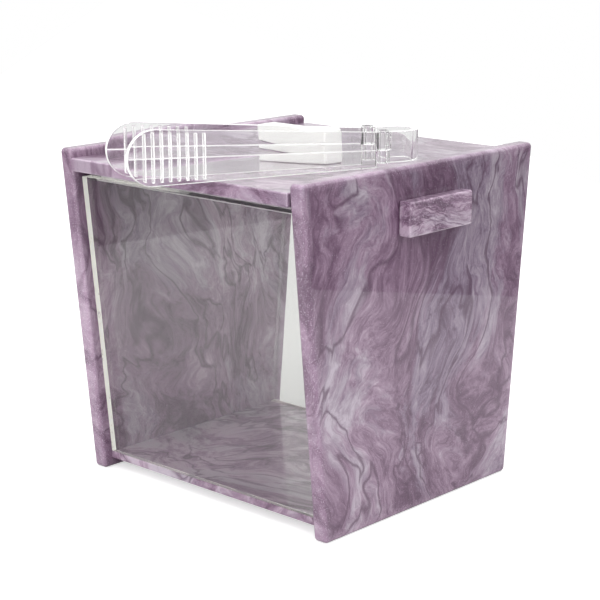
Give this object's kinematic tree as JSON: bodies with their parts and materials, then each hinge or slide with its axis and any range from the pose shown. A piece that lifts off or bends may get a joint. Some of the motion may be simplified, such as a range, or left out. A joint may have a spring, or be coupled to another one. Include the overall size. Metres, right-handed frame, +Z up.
{
  "type": "ice bucket",
  "caption": "Ice bucket with marbled acrylic side panels, clear windows front and back, block handles, a lift-off lid with a bar knob, and clear hinged ice tongs lying across the lid.",
  "frame": {"origin": "on the table, below the centre of the whole part's box, tongs included", "axes": "+X to the bucket's right as seen from the front, +Y from the front window to the back window, +Z up"},
  "size_m": [0.1732, 0.2056, 0.1856],
  "materials": {
    "marbled_acrylic": "polished pearlescent acrylic sheet, lilac and silver-grey marbling",
    "clear_acrylic": "polished clear acrylic",
    "opal_acrylic": "glossy white acrylic"
  },
  "bodies": {
    "bucket": {"left_side_panel": "marbled_acrylic", "right_side_panel": "marbled_acrylic", "front_window": "clear_acrylic", "back_window": "clear_acrylic", "bottom_plate": "marbled_acrylic", "left_handle": "marbled_acrylic", "right_handle": "marbled_acrylic", "left_lid_ledge": "clear_acrylic", "right_lid_ledge": "clear_acrylic"},
    "lid": {"lid_plate": "marbled_acrylic", "lid_locating_plate": "clear_acrylic", "lid_knob": "opal_acrylic"},
    "tongs": {"tongs_bow": "clear_acrylic", "tongs_front_pin": "clear_acrylic", "tongs_back_pin": "clear_acrylic"},
    "front_arm": {"tongs_front_arm": "clear_acrylic"},
    "back_arm": {"tongs_back_arm": "clear_acrylic"}
  },
  "joints": [
    {"name": "lid_lift", "type": "slide", "parent": "bucket", "child": "lid", "axis": [0, 0, 1], "range_m": [0, 0.12]},
    {"name": "tongs_lift", "type": "slide", "parent": "lid", "child": "tongs", "axis": [0, 0, 1], "range_m": [0, 0.08]},
    {"name": "front_arm_squeeze", "type": "hinge", "parent": "tongs", "child": "front_arm", "pos_m": [0.05791, 0.01484, 0.1692], "axis": [0, 0, -1], "range_deg": [0, 5.5], "stiffness_Nm_per_rad": 2, "springref_deg": -1.15},
    {"name": "back_arm_squeeze", "type": "hinge", "parent": "tongs", "child": "back_arm", "pos_m": [0.04269, 0.02149, 0.1692], "axis": [0, 0, 1], "range_deg": [0, 5.5], "stiffness_Nm_per_rad": 2, "springref_deg": -1.15}
  ]
}
